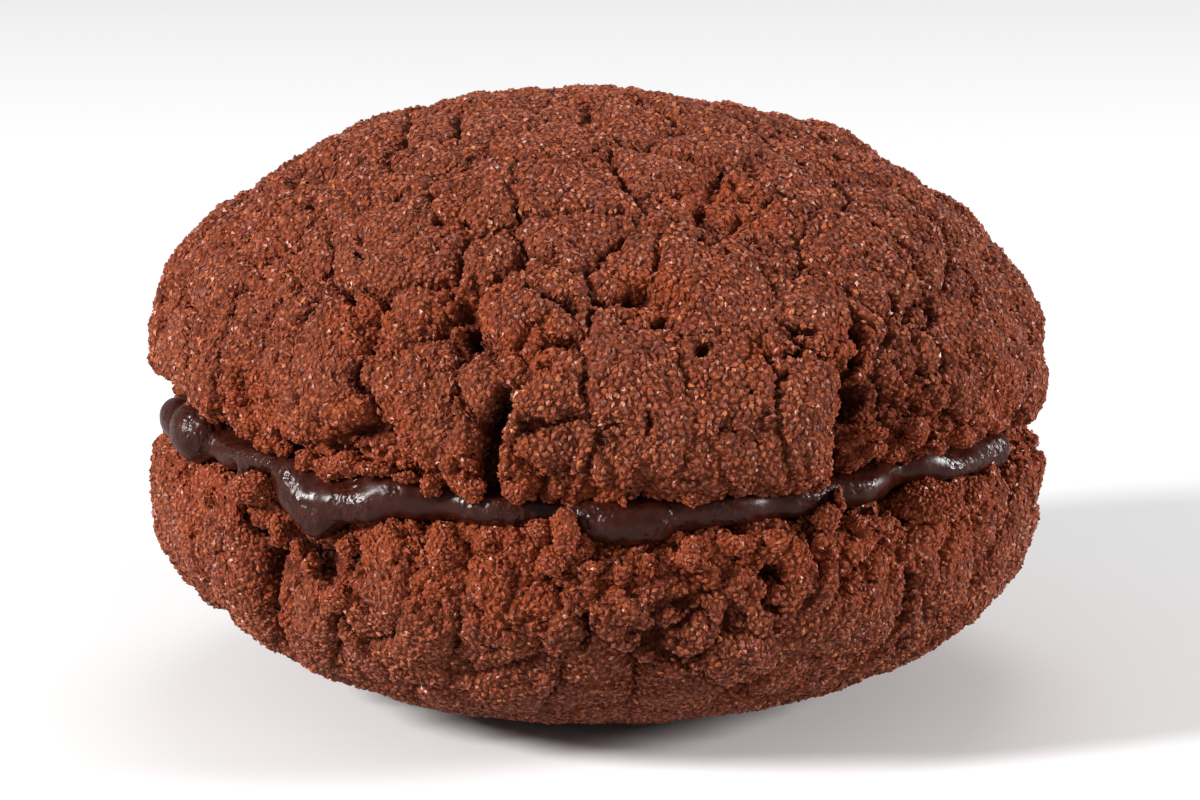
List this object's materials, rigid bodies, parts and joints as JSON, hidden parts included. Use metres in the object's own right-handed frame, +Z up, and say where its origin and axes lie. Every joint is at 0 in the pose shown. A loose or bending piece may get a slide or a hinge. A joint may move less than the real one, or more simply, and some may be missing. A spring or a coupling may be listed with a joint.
{
  "type": "chocolate sandwich cookie",
  "caption": "Round soft chocolate sandwich cookie: domed, cracked, crumbly halves with a dark chocolate cream layer squeezing out between them.",
  "frame": {"origin": "centre of the small flat spot under the bottom cookie, on the surface it rests on", "axes": "+Z up through the stack, from the bottom cookie to the top cookie; -Y towards the shown front"},
  "size_m": [0.0603, 0.0604, 0.0399],
  "materials": {
    "cookie_crumb": "dry crumbly chocolate biscuit, rough, with cracks and sugary grain",
    "chocolate_cream": "smooth glossy dark chocolate cream"
  },
  "bodies": {
    "root": {"bottom_cookie": "cookie_crumb", "chocolate_cream": "chocolate_cream", "top_cookie": "cookie_crumb"}
  },
  "joints": []
}
